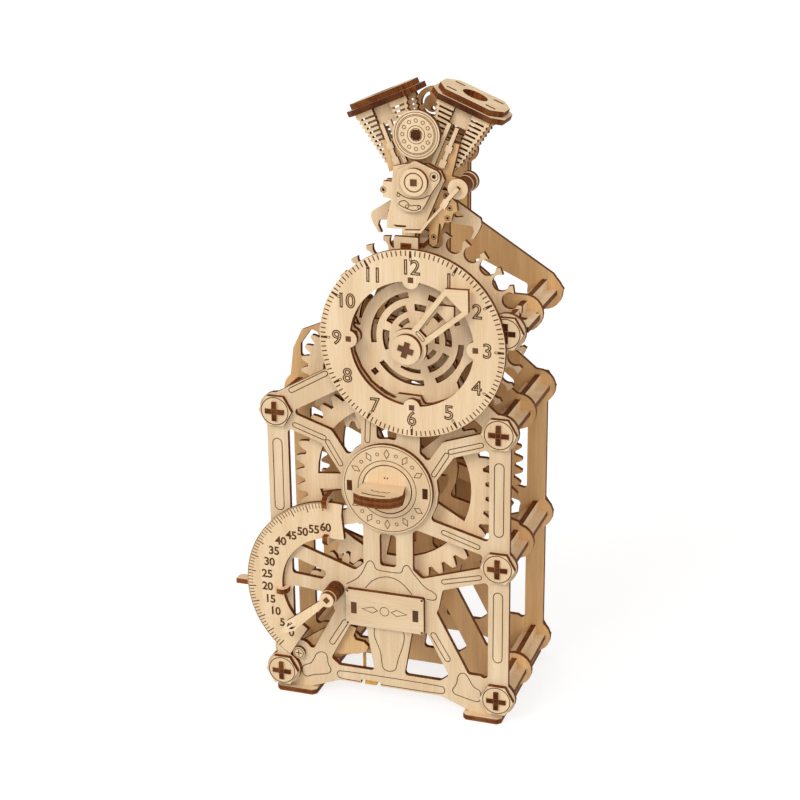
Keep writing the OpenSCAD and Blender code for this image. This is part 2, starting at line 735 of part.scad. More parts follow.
// Rubber band from the lever's hook to the notched bottom rail.
band_y = 2*T + 0.8;
band_w = 1.4;
module rubber_band() place() color(AMBER) {
    for (x = [-18.2, -11.5]) translate([x, band_y, -3.4]) cube([band_w, band_w, 19.2]);
    translate([-18.2, band_y, 14.4]) cube([6.7 + band_w, band_w, band_w]);
    translate([-18.2, band_y, -3.4]) cube([10.5, band_w, 1.7]);
    translate([-14.5, -0.9, -3.4]) cube([6.8, band_y + 0.9 + band_w, 1.7]);
}

// ---------- engine ----------
// Depths of the engine's layers
cam_y = T;
case_y = 2*T;
case_back_y = 11.3;
fin_y = case_back_y + T;
fin_back_y = mid_depth - T;
head_drop = 35.3;

// Board that carries the crankcase, with a tenon through the front plate.
module engine_base() place() color(WOOD_DEEP) {
    translate([hub[0] - 13, T, 251.3]) cube([17, 15.3 - T, T]);
    translate([hub[0] - 7.3, 0, 251.3]) cube([6, T + rest, T]);
}

// Crankcase outline about the anchor's arbor, its top raised by grow.
module case_outline(grow) at(swing) {
    polygon([[-12.7, 6.5], [-13.6, -1.6], [-18.4, -1.6], [-18.6, -9.8], [-14, -10.6], [-16.5, -21.8],
        [-16.8, -26], [-8.4, -26], [-8.4, -31.7], [-1.4, -31.7], [-1.4, -25.6], [1.4, -25.4], [4.1, -23],
        [12.1, -4.4], [14.6, 0.6], [12.6, 5.4], [5.6, 8.4 + grow], [-4, 8.4 + grow]]);
    translate([-18.4, -6]) circle(1.9);
}

module crankcase_front() place() color(WOOD) difference() {
    sheet_at(case_y) case_outline(0);
    bar_y(swing, small_r + play, 0, 4*T);
    bar_y(swing + [-18.2, -6], 0.9, 0, 4*T);
    sheet_at(case_y - 1, T + 2) at(swing + [-12, -25]) square([5.6, 0.9]);
}

// Screw-like holes down the right of the rear crankcase sheet
case_screws = [[13.8, -8.3], [15.6, -14.7], [14.4, -20], [7, -30.3]];
module crankcase_back() place() color(WOOD_DARK) difference() {
    sheet_at(case_back_y) soften(0.5) {
        case_outline(14);
        strip(swing + [-10, 4], swing + [-14, 20], 14);
        strip(swing + [10, 4], swing + [14, 20], 14);
        strip(swing + [10, 0], carb_at, 6);
        at(carb_at) circle(4.4);
        at(swing) polygon([[6, -5.6], [14.5, -5.7], [15, -8.3], [19.1, -11.5], [19.8, -16], [17.4, -17.4],
            [16.6, -21], [12.8, -22.4], [11.4, -26.7], [10.2, -20], [8.8, -18]]);
        at(swing) polygon([[9.6, -14.8], [4.8, -21], [4.7, -34], [6.7, -35.6], [8.7, -34], [10.2, -20]]);
        at(swing + case_screws[2]) circle(2.4);
    }
    bar_y(swing, small_r + play, 0, 6*T);
    bar_y(carb_at, carb_core_r + 0.05, 0, 6*T);
    for (p = case_screws) bar_y(swing + p, 0.8, 0, 6*T);
}

// Rounded triangle over the cams, with one lobe.
module cam_cover() place() color(WOOD) difference() {
    sheet_at(cam_y) at(swing) soften(0.5) {
        polygon([[-10.1, 5.2], [-0.8, 10.2], [0.8, 10.2], [11, 6], [12.6, 0.6], [7.8, -6.5], [5.1, -11.9],
            [3.1, -14.8], [-0.9, -16.1], [-5, -15.9], [-8.3, -14.3], [-10, -11.2], [-10.4, -5]]);
        translate([9.2, 2.6]) circle(3.9, $fn = 32);
    }
    bar_y(swing, small_r + play, 0, 4*T);
    bar_y(swing + [9.9, 2.9], 1.1, 0, 4*T);
}

// Round air-cleaner badge on a crossed stem.
badge_at = swing + [0, 23.4];
badge_y = 4.6;
module badge() place() color(WOOD) {
    difference() {
        disc_at(badge_at, 12.4, badge_y, T - rest);
        sheet_at(badge_y - 1, T + 2) at(badge_at) cross(2.6, 3);
    }
    sheet_at(badge_y - 0.5, case_back_y - badge_y + 0.5) at(badge_at) cross(2.6, 2.98);
    difference() {
        disc_at(badge_at, 11.2, badge_y + T, case_back_y - badge_y - T);
        sheet_at(badge_y, 3*T) at(badge_at) cross(2.6, 3);
    }
}

// Leaning frame of one cylinder: x along the head, z up the cylinder, head's underside at z = 0.
module cylinder_frame(side) translate([hub[0] + side*22.3, 0, swing[1] + head_drop])
    rotate([0, side*vee_lean, 0]) children();

// Finned panel, narrower at the foot, with a slot for the push rods. Fin i has its tip at fin_at(i).
fin_step = 2.5;
function fin_at(i) = [14.9 - i*0.56, -2.4 - i*fin_step];
module fin_outline() difference() {
    polygon(concat(
        [[-14.7, 0]],
        [for (i = [0 : 10]) each [[-fin_at(i)[0], fin_at(i)[1]], [1.4 - fin_at(i)[0], fin_at(i)[1] - 1.2]]],
        [[-7.5, -31], [7.5, -31]],
        [for (i = [10 : -1 : 0]) each [[fin_at(i)[0] - 1.4, fin_at(i)[1] - 1.2], fin_at(i)]],
        [[14.7, 0]]));
    translate([-5, -17]) square([10, 17]);
    for (s = [-1, 1]) {
        for (i = [0 : 5]) translate([s*(fin_at(i)[0] + 2.6)/2, fin_at(i)[1] - 1.1])
            square([fin_at(i)[0] - 7.2, 1.1], center = true);
        for (i = [6 : 10]) translate([s*(fin_at(i)[0] - 0.8)/2, fin_at(i)[1] - 1.1])
            square([fin_at(i)[0] - 2.8, 1.1], center = true);
    }
}

module cylinder_body(side) cylinder_frame(side) {
    for (y = [fin_y, fin_back_y - T]) sheet_at(y) fin_outline();
    for (s = [-1, 1]) translate([s*10.6, fin_y + T, -1]) rotate([0, s*11.5, 0]) translate([-T/2, 0, -23])
        cube([T, fin_back_y - fin_y - 2*T, 22.9]);
    translate([-4.9, fin_y + T, -10]) cube([9.8, T, 9.9]);
    translate([-8, fin_y + T, -2.9]) cube([16, fin_back_y - fin_y - 2*T, 2.8]);
}

module left_cylinder() place() color(WOOD) cylinder_body(-1);

module right_cylinder() place() color(WOOD) cylinder_body(1);

// Eight-sided plate with clipped corners.
module head_plate(l, d, clip_x, clip_y) polygon([for (q = [[1, 1], [-1, 1], [-1, -1], [1, -1]])
    each (q[0]*q[1] > 0 ?
        [[q[0]*l/2, q[1]*(d/2 - clip_y)], [q[0]*(l/2 - clip_x), q[1]*d/2]] :
        [[q[0]*(l/2 - clip_x), q[1]*d/2], [q[0]*l/2, q[1]*(d/2 - clip_y)]])]);

module cylinder_heads() place() color(WOOD) for (side = [-1, 1]) cylinder_frame(side)
    translate([0, 13 + head_depth/2, 0]) {
        linear_extrude(T - rest) difference() {
            head_plate(head_len + 4, head_depth + 3, 5.4, 7);
            circle(6.8);
        }
        translate([0, 0, T]) linear_extrude(T) difference() {
            head_plate(head_len, head_depth, 5.5, 8);
            circle(6.8);
            for (s = [-1, 1]) for (t = [-1, 1]) translate([s*11, t*7.6]) square([5.5, 2], center = true);
        }
    }

// Two rods per cylinder in front of the fins, the outer one with a collar and a tappet block.
module push_rods() place() color(WOOD) for (side = [-1, 1]) cylinder_frame(side)
    translate([0, case_back_y, 0]) {
        translate([-side*3.4 - 1, -1.8, -31]) cube([2, 1.8, 23]);
        translate([side*1.2 - 1, -1.8, -31]) cube([2, 1.8, 22.4]);
        translate([side*1.2 - 1.8, -2, -22]) cube([3.6, 2, 3.4]);
        translate([side*1.2 - 1.7, -2, -30.6]) cube([3.4, 2, 4]);
    }

// Stack of discs on the right of the crankcase.
carb_at = [39, swing[1] - 2.4];
carb_core_r = 2.4;
carb_y = 2;
carb_end_y = 20;
module carburettor() place() color(WOOD) {
    disc_at(carb_at, 5.3, carb_y, T);
    disc_at(carb_at, 4.7, carb_y + T, case_back_y - carb_y - T - 0.1);
    bar_y(carb_at, carb_core_r, case_back_y - 0.1, case_back_y + T + 0.1);
    disc_at(carb_at, 4.7, case_back_y + T + 0.1, carb_end_y - case_back_y - T - 0.1);
    disc_at(carb_at, 5.3, carb_end_y, T);
}

// Throttle rod with its fitting, then a thin bent rod that runs under the crankcase.
module throttle_pipe() place() color(WOOD) sheet_at(carb_y - T) soften(0.3) {
    strip(swing + [23.6, -1.4], swing + [17.2, -8.6], 2.1);
    strip(swing + [17.8, -7.8], swing + [15.4, -11.8], 3.2);
    path([swing + [15.8, -11], swing + [8, -19.6], swing + [3.8, -25], swing + [-5, -25.4]], 1.3);
}

front_plate();
middle_plate();
back_plate();
posts();
front_nuts();
back_nuts();
left_foot();
right_foot();
name_plate();
name_plate_keys();
hour_dial();
dial_spacers();
key_disc();
seconds_dial();
seconds_dial_clips();
winding_key();
key_turntable();
winding_arbor();
ratchet_wheel();
great_wheel();
front_wheel();
drive_sleeve();
click();
centre_arbor();
centre_wheel();
centre_drive_wheel();
cannon_pinion();
minute_hand();
hand_hub();
hour_wheel();
hour_hand();
motion_arbor();
motion_wheel();
third_arbor();
third_wheel();
escape_wheel();
escape_pinion();
seconds_arbor();
seconds_pinion();
seconds_hand();
anchor();
anchor_arbor();
cam_boss();
pendulum_rod();
pendulum_bob();
band_lever();
lever_pivot();
rubber_band();
engine_base();
crankcase_front();
crankcase_back();
cam_cover();
badge();
left_cylinder();
right_cylinder();
cylinder_heads();
push_rods();
carburettor();
throttle_pipe();
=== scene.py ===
import json
import math
import random
import bpy
from mathutils import Matrix, Vector


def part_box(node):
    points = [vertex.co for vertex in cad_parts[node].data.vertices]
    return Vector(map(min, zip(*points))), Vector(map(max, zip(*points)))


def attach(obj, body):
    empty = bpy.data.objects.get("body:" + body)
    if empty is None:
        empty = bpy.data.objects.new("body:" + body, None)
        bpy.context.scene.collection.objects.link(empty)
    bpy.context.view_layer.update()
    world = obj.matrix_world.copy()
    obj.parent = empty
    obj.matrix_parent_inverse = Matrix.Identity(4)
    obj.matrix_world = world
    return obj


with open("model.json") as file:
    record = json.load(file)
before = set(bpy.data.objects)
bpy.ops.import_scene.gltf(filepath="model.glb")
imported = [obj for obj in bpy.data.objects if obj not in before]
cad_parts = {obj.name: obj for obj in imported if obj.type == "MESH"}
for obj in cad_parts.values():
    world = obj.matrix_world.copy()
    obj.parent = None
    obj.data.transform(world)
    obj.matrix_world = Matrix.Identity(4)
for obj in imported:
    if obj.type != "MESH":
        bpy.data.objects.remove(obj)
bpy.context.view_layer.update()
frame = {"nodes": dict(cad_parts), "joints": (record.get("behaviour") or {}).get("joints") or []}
nodes = frame["nodes"]
joint_at = {j["name"]: Vector(j["pos_m"]) for j in frame["joints"]}
MM = 0.001
T = 3.0   # thickness of every plywood sheet, in millimetres

# The clock's own datum: the front plate's front face, between the posts, level with
# the lower posts. Places on it are in millimetres: across, up, and depth behind the face.
HUB = (16.3, 202.0)     # the hands' arbor
KEY = (1.0, 118.0)      # the winding arbor
SEC = (-30.6, 53.4)     # the seconds hand's arbor
SWING = (16.3, 286.0)   # the anchor's arbor
BADGE = (16.3, 309.4)
LEVER = (-53.6, 10.7)   # the tension lever's pivot
front_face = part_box("front_plate")[0].y
hub_at = joint_at["centre_spin"]
ORIGIN = Vector((hub_at.x - HUB[0] * MM, front_face, hub_at.z - HUB[1] * MM))
POSTS = [(-62.9, 156.0), (62.9, 156.0), (62.9, 79.4), (-62.9, 0.0), (62.9, 0.0), (65.8, 211.5)]


def at(x, z, depth=0.0):
    return ORIGIN + Vector((x, depth, z)) * MM


def clock_point(centre, radius, angle):
    a = math.radians(angle)
    return (centre[0] + radius * math.sin(a), centre[1] + radius * math.cos(a))


X, Y, Z = Vector((1, 0, 0)), Vector((0, 1, 0)), Vector((0, 0, 1))


# ---------- materials ----------
def srgb(r, g, b):
    def lin(c):
        c = c / 255
        return c / 12.92 if c <= 0.04045 else ((c + 0.055) / 1.055) ** 2.4
    return (lin(r), lin(g), lin(b), 1.0)


def new_material(name):
    m = bpy.data.materials.new(name)
    m.use_nodes = True
    tree = m.node_tree
    tree.nodes.clear()
    out = tree.nodes.new("ShaderNodeOutputMaterial")
    shader = tree.nodes.new("ShaderNodeBsdfPrincipled")
    tree.links.new(shader.outputs[0], out.inputs[0])
    return m, tree, shader


def scaled_coords(tree, scale, offset=(0.0, 0.0, 0.0)):
    tex = tree.nodes.new("ShaderNodeTexCoord")
    mapping = tree.nodes.new("ShaderNodeMapping")
    mapping.inputs["Scale"].default_value = scale
    mapping.inputs["Location"].default_value = offset
    tree.links.new(tex.outputs["Object"], mapping.inputs["Vector"])
    return mapping.outputs[0]


def noise(tree, scale, offset, detail=3.0, rough=0.55):
    n = tree.nodes.new("ShaderNodeTexNoise")
    n.inputs["Scale"].default_value = 1.0
    n.inputs["Detail"].default_value = detail
    n.inputs["Roughness"].default_value = rough
    tree.links.new(scaled_coords(tree, scale, offset), n.inputs["Vector"])
    return n.outputs["Fac"]


def ramp(tree, fac, stops):
    r = tree.nodes.new("ShaderNodeValToRGB")
    r.color_ramp.elements[0].position = stops[0][0]
    r.color_ramp.elements[0].color = stops[0][1]
    r.color_ramp.elements[1].position = stops[-1][0]
    r.color_ramp.elements[1].color = stops[-1][1]
    for pos, col in stops[1:-1]:
        e = r.color_ramp.elements.new(pos)
        e.color = col
    tree.links.new(fac, r.inputs["Fac"])
    return r.outputs["Color"]


def grey(v):
    return (v, v, v, 1.0)


def mix(tree, kind, fac, a, b):
    m = tree.nodes.new("ShaderNodeMix")
    m.data_type = "RGBA"
    m.blend_type = kind
    m.clamp_result = True
    if isinstance(fac, float):
        m.inputs[0].default_value = fac
    else:
        tree.links.new(fac, m.inputs[0])
    for value, socket in ((a, m.inputs[6]), (b, m.inputs[7])):
        if isinstance(value, tuple):
            socket.default_value = value
        else:
            tree.links.new(value, socket)
    return m.outputs[2]


def maths(tree, op, a, b=None):
    m = tree.nodes.new("ShaderNodeMath")
    m.operation = op
    for value, socket in ((a, m.inputs[0]), (b, m.inputs[1])):
        if value is None:
            continue
        if isinstance(value, (int, float)):
            socket.default_value = value
        else:
            tree.links.new(value, socket)
    return m.outputs[0]


def bump(tree, shader, height, strength, distance):
    b = tree.nodes.new("ShaderNodeBump")
    b.inputs["Strength"].default_value = strength
    b.inputs["Distance"].default_value = distance
    tree.links.new(height, b.inputs["Height"])
    tree.links.new(b.outputs[0], shader.inputs["Normal"])


def stretched(fine, coarse, grain):
    """Scale of a grain pattern: coarse along the grain, fine across it."""
    return tuple(coarse if axis == grain else fine for axis in "xyz")


def birch(name, pale, deep, grain, seed):
    """Pale birch face: fine streaks along the grain, soft tone changes, small flecks."""
    rnd = random.Random(seed)
    off = tuple(rnd.uniform(-20, 20) for _ in range(3))
    off2 = tuple(rnd.uniform(-20, 20) for _ in range(3))
    m, tree, shader = new_material(name)
    fine = noise(tree, stretched(1500, 55, grain), off, 4.0, 0.6)
    broad = noise(tree, stretched(120, 9, grain), off2, 2.0, 0.5)
    streaks = maths(tree, "ADD", maths(tree, "MULTIPLY", fine, 0.45), maths(tree, "MULTIPLY", broad, 0.55))
    middle = tuple((p + d) / 2 for p, d in zip(pale, deep))
    body = ramp(tree, streaks, [(0.34, deep), (0.52, middle), (0.66, pale)])
    flecks = noise(tree, stretched(2600, 420, grain), off2, 1.0, 0.4)
    fleck_mask = ramp(tree, flecks, [(0.70, grey(0.0)), (0.76, grey(0.35))])
    colour = mix(tree, "MULTIPLY", fleck_mask, body, srgb(178, 138, 92))
    tree.links.new(colour, shader.inputs["Base Color"])
    rough = ramp(tree, fine, [(0.2, grey(0.52)), (0.8, grey(0.70))])
    tree.links.new(rough, shader.inputs["Roughness"])
    shader.inputs["Specular IOR Level"].default_value = 0.35
    bump(tree, shader, fine, 0.25, 0.00006)
    return m


def burnt_edge(name, phase, axis, light):
    """Laser-cut edge: scorched plies seen edge on. phase is where the sheet's face starts along axis."""
    m, tree, shader = new_material(name)
    tex = tree.nodes.new("ShaderNodeTexCoord")
    split = tree.nodes.new("ShaderNodeSeparateXYZ")
    tree.links.new(tex.outputs["Object"], split.inputs[0])
    along = {"x": 0, "y": 1, "z": 2}[axis]
    depth = maths(tree, "MULTIPLY", maths(tree, "SUBTRACT", split.outputs[along], phase), 1 / (T * MM))
    ply = maths(tree, "FRACT", maths(tree, "ADD", depth, 40.0))

    def tone(r, g, b):
        return srgb(r * light, g * light, b * light)

    # Three plies with two dark glue lines between them, and the two faces' burnt corners
    layers = ramp(tree, ply, [
        (0.0, tone(104, 54, 20)), (0.10, tone(196, 120, 54)), (0.28, tone(176, 102, 42)),
        (0.33, tone(74, 36, 12)), (0.42, tone(136, 76, 30)), (0.60, tone(146, 84, 34)),
        (0.67, tone(70, 34, 10)), (0.74, tone(184, 110, 48)), (0.92, tone(164, 96, 40)),
        (1.0, tone(92, 48, 18))])
    scorch = noise(tree, stretched(900, 160, axis), (phase * 900, 3.0, 7.0), 4.0, 0.65)
    scorch_mask = ramp(tree, scorch, [(0.35, grey(0.95)), (0.65, grey(0.1))])
    colour = mix(tree, "MULTIPLY", scorch_mask, layers, srgb(206, 154, 84))
    patches = noise(tree, (90, 90, 90), (5.0, phase * 500, 1.0), 2.0, 0.5)
    patch_mask = ramp(tree, patches, [(0.45, grey(0.0)), (0.75, grey(0.45))])
    colour = mix(tree, "MIX", patch_mask, colour, tone(190, 124, 60))
    tree.links.new(colour, shader.inputs["Base Color"])
    shader.inputs["Roughness"].default_value = 0.7
    shader.inputs["Specular IOR Level"].default_value = 0.12
    bump(tree, shader, scorch, 0.3, 0.00008)
    return m


def burnt_line_material(name, deep, light):
    m, tree, shader = new_material(name)
    n = noise(tree, (700, 700, 700), (1.0, 2.0, 3.0), 3.0, 0.6)
    colour = ramp(tree, n, [(0.3, deep), (0.7, light)])
    tree.links.new(colour, shader.inputs["Base Color"])
    shader.inputs["Roughness"].default_value = 0.8
    shader.inputs["Specular IOR Level"].default_value = 0.15
    return m


def rubber_material():
    m, tree, shader = new_material("amber_rubber")
    n = noise(tree, (300, 300, 90), (4.0, 2.0, 3.0), 3.0, 0.6)
    colour = ramp(tree, n, [(0.3, srgb(178, 128, 34)), (0.7, srgb(214, 168, 62))])
    tree.links.new(colour, shader.inputs["Base Color"])
    shader.inputs["Roughness"].default_value = 0.42
    shader.inputs["Subsurface Weight"].default_value = 0.25
    shader.inputs["Subsurface Radius"].default_value = (0.004, 0.002, 0.0006)
    shader.inputs["Subsurface Scale"].default_value = 0.5
    bump(tree, shader, n, 0.2, 0.0001)
    return m


PALE, MID = srgb(243, 218, 182), srgb(222, 190, 148)
# Painted shade: a darker, browner pair for the plates and wheels further back, standing in for shade and warm
# bounce light between the plates
SHADE_PAINTED_PALE, SHADE_PAINTED_MID = srgb(230, 191, 138), srgb(203, 158, 104)
DARK_PALE, DARK_MID = srgb(118, 70, 32), srgb(72, 40, 16)
engraved = burnt_line_material("engraved_line", srgb(64, 36, 16), srgb(112, 72, 36))
seam = burnt_line_material("post_seam", srgb(112, 68, 36), srgb(156, 106, 62))
rubber = rubber_material()
EDGE_LIGHT = 0.78
edge_cache = {}


def edge_for(phase, axis):
    """One material for all sheets whose plies start at the same place along the axis."""
    start = round((phase / MM) % T, 1)
    if (start, axis) not in edge_cache:
        name = "burnt_edge_%s_%02d" % (axis, start * 10)
        edge_cache[start, axis] = burnt_edge(name, phase, axis, EDGE_LIGHT)
    return edge_cache[start, axis]


def grain_of(node):
    """The axis along which the sheet's grain runs."""
    if node in ("left_foot", "right_foot"):
        return "y"
    across = ("minute_hand", "name_plate", "engine_base", "winding_key")
    return "x" if node in across or node.endswith("keys") else "z"


LEAN = math.radians(22.5)
HEAD_AXES = [Vector((s * math.sin(LEAN), 0, math.cos(LEAN))) for s in (-1, 1)]
SIDE_FINS = (17.4, 29.2)   # depths between which a cylinder's fins face sideways
# Sheets that lie level, arbors and pegs of dark wood, and sheets further back whose darker, browner colour is
# painted shade
LEVEL = ("left_foot", "right_foot", "winding_key", "engine_base")
DARK = ("winding_arbor", "drive_sleeve", "centre_arbor", "motion_arbor", "third_arbor", "anchor_arbor",
        "seconds_arbor", "dial_spacers", "name_plate_keys")
SHADE_PAINTED_SHEETS = ("middle_plate", "back_plate", "band_lever", "crankcase_back", "pendulum_rod", "pendulum_bob",
          "great_wheel", "centre_wheel", "third_wheel")
# Sheets a little lighter or darker than the others; the hour wheel's lighter tone is painted light, making up
# for the dial ring's shade over it
SHEET_TONE_AND_PAINTED_LIGHT = {"front_plate": 0.88, "name_plate": 0.88, "front_nuts": 0.94, "key_disc": 0.96,
              "hour_wheel": 1.06}


def is_face(node, centre, normal):
    """True where a polygon is the pale face of a sheet and not its cut edge."""
    x, depth, z = ((centre - ORIGIN) / MM)[:]

    def along(direction, least=0.9):
        return abs(normal.dot(direction)) > least

    if node in LEVEL:
        return along(Z)
    # Ends of the badge's crossed stem and of the key disc's two tenons
    if node == "badge" and math.hypot(x - BADGE[0], z - BADGE[1]) < 3.2:
        return False
    if node == "key_disc" and abs(abs(x - KEY[0]) - 21.5) < 1.6 and abs(z - KEY[1]) < 3:
        return False
    if node == "cylinder_heads":
        return any(along(a, 0.99) for a in HEAD_AXES)
    # The dial's outer clip lies level, and the other one stands upright
    if node == "seconds_dial_clips":
        return along(Z if x < -50 else X)
    if node == "posts":
        px, pz = min(POSTS, key=lambda p: math.hypot(p[0] - x, p[1] - z))
        from_middle = abs(x - px) if along(X) else abs(z - pz)
        return from_middle < 2.0 and not along(Y)
    if node in ("left_cylinder", "right_cylinder") and SIDE_FINS[0] < depth < SIDE_FINS[1]:
        up_cylinder = HEAD_AXES[node == "right_cylinder"]
        return along(up_cylinder) or along(up_cylinder.cross(Y))
    return along(Y)


def wood_colours(node):
    """Lightest and deepest colour of the sheet, a little different for each."""
    if node in DARK:
        pair = DARK_PALE, DARK_MID
    # Painted shade: sheets further back take the darker, browner pair
    elif node in SHADE_PAINTED_SHEETS:
        pair = SHADE_PAINTED_PALE, SHADE_PAINTED_MID
    else:
        pair = PALE, MID
    # The tone carries painted light on the hour wheel, lighter against the dial ring's shade
    tone = random.Random(node).uniform(0.95, 1.03) * SHEET_TONE_AND_PAINTED_LIGHT.get(node, 1.0)
    return [tuple(min(1.0, c * tone) for c in colour[:3]) + (1.0,) for colour in pair]


for node, obj in nodes.items():
    mesh = obj.data
    mesh.materials.clear()
    if node == "rubber_band":
        mesh.materials.append(rubber)
        continue
    pale, deep = wood_colours(node)
    mesh.materials.append(birch("birch_" + node, pale, deep, grain_of(node), node))
    near_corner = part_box(node)[0]
    if node in LEVEL:
        mesh.materials.append(edge_for(near_corner.z, "z"))
    else:
        mesh.materials.append(edge_for(near_corner.y, "y"))
    for poly in mesh.polygons:
        poly.material_index = 0 if is_face(node, poly.center, poly.normal) else 1


# ---------- engraving ----------
LIFT = 0.04   # how far the lines stand off the face that they lie on
FINE, LINE, HEAVY = 0.4, 0.5, 0.62   # widths of the burnt lines


class Engraving:
    """Flat ribbons on one face, gathered into a single piece."""

    def __init__(self, name, body, depth, level=None, ink=engraved):
        self.name, self.body, self.depth, self.level, self.ink = name, body, depth, level, ink
        self.verts, self.faces = [], []

    def place(self, x, z):
        """On an upright face the second value is the height, on a level one it is the depth."""
        return at(x, z, self.depth) if self.level is None else at(x, self.level, z)

    def ribbon(self, points, width=LINE, closed=False):
        count = len(points)
        start = len(self.verts)
        for i, (x, z) in enumerate(points):
            a = points[(i - 1) % count] if closed or i > 0 else points[i]
            b = points[(i + 1) % count] if closed or i < count - 1 else points[i]
            d1 = Vector((x - a[0], z - a[1]))
            d2 = Vector((b[0] - x, b[1] - z))
            if d1.length < 1e-9:
                d1 = d2
            if d2.length < 1e-9:
                d2 = d1
            d1, d2 = d1.normalized(), d2.normalized()
            n1, n2 = Vector((-d1.y, d1.x)), Vector((-d2.y, d2.x))
            n = n1 + n2
            n = n.normalized() if n.length > 1e-6 else n1
            reach = width / 2 / max(0.4, n.dot(n1))
            self.verts.append(self.place(x + n.x * reach, z + n.y * reach))
            self.verts.append(self.place(x - n.x * reach, z - n.y * reach))
        for i in range(count if closed else count - 1):
            p, q = start + 2 * i, start + 2 * ((i + 1) % count)
            self.faces.append((p, p + 1, q + 1, q))

    def circle(self, centre, radius, width=LINE, steps=72, a0=0.0, a1=360.0):
        whole = a1 - a0 >= 360
        count = steps if whole else steps + 1
        pts = [clock_point(centre, radius, a0 + (a1 - a0) * i / steps) for i in range(count)]
        self.ribbon(pts, width, whole)

    def capsule(self, a, b, half, width=LINE):
        """Outline with round ends around the line from a to b."""
        d = Vector((b[0] - a[0], b[1] - a[1])).normalized()
        base = math.atan2(d.y, d.x)
        pts = []
        for centre, turn in ((b, -90), (a, 90)):
            for k in range(9):
                t = base + math.radians(turn + 180 * k / 8)
                pts.append((centre[0] + half * math.cos(t), centre[1] + half * math.sin(t)))
        self.ribbon(pts, width, True)

    def smooth(self, points, width=LINE, closed=False, rounds=2):
        """Ribbon with its corners cut off a few times over, so that it runs in curves."""
        for _ in range(rounds):
            ends = points[1:] + points[:1] if closed else points[1:]
            cut = []
            for (ax, az), (bx, bz) in zip(points, ends):
                for share in (0.25, 0.75):
                    cut.append(((1 - share) * ax + share * bx, (1 - share) * az + share * bz))
            points = cut if closed else [points[0]] + cut + [points[-1]]
        self.ribbon(points, width, closed)

    def dot(self, centre, radius, steps=12):
        start = len(self.verts)
        pts = [clock_point(centre, radius, -360 * i / steps) for i in range(steps)]
        self.verts += [self.place(x, z) for x, z in pts]
        self.faces.append(tuple(range(start, start + steps)))

    def add_flattened(self, mesh, matrix, middle):
        """Adds a mesh, with its depth squeezed to a tenth around the given middle."""
        start = len(self.verts)
        for v in mesh.vertices:
            p = matrix @ v.co
            p.y = middle + (p.y - middle) * 0.1
            self.verts.append(p)
        self.faces += [tuple(start + i for i in poly.vertices) for poly in mesh.polygons]

    def number(self, text, x, z, height, outline):
        """Dial digits, either as an outline or filled in."""
        curve = bpy.data.curves.new("digits", "FONT")
        curve.body = text
        curve.align_x, curve.align_y = "CENTER", "CENTER"
        curve.size = height * MM * 1.36
        curve.resolution_u = 3
        curve.space_character = 0.95
        if outline:
            curve.fill_mode = "NONE"
            curve.bevel_depth = 0.34 * MM
            curve.bevel_resolution = 0
        else:
            curve.offset = 0.2 * MM
        obj = bpy.data.objects.new("digits", curve)
        bpy.context.scene.collection.objects.link(obj)
        bpy.context.view_layer.update()
        evaluated = obj.evaluated_get(bpy.context.evaluated_depsgraph_get())
        mesh = bpy.data.meshes.new_from_object(evaluated)
        plane = at(x, z, self.depth)
        upright = Matrix.Translation(plane) @ Matrix.Rotation(math.radians(90), 4, "X")
        self.add_flattened(mesh, upright, plane.y)
        bpy.data.objects.remove(obj)
        bpy.data.curves.remove(curve)
        bpy.data.meshes.remove(mesh)

    def make(self):
        mesh = bpy.data.meshes.new(self.name)
        mesh.from_pydata([v[:] for v in self.verts], [], self.faces)
        mesh.materials.append(self.ink)
        mesh.update()
        obj = bpy.data.objects.new(self.name, mesh)
        bpy.context.scene.collection.objects.link(obj)
        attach(obj, self.body)


def near(centre, points):
    """Places measured from the given one."""
    return [(centre[0] + x, centre[1] + z) for x, z in points]


def face_depth(node):
    """Depth at which lines on the node's foremost face lie."""
    return (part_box(node)[0].y - ORIGIN.y) / MM - LIFT


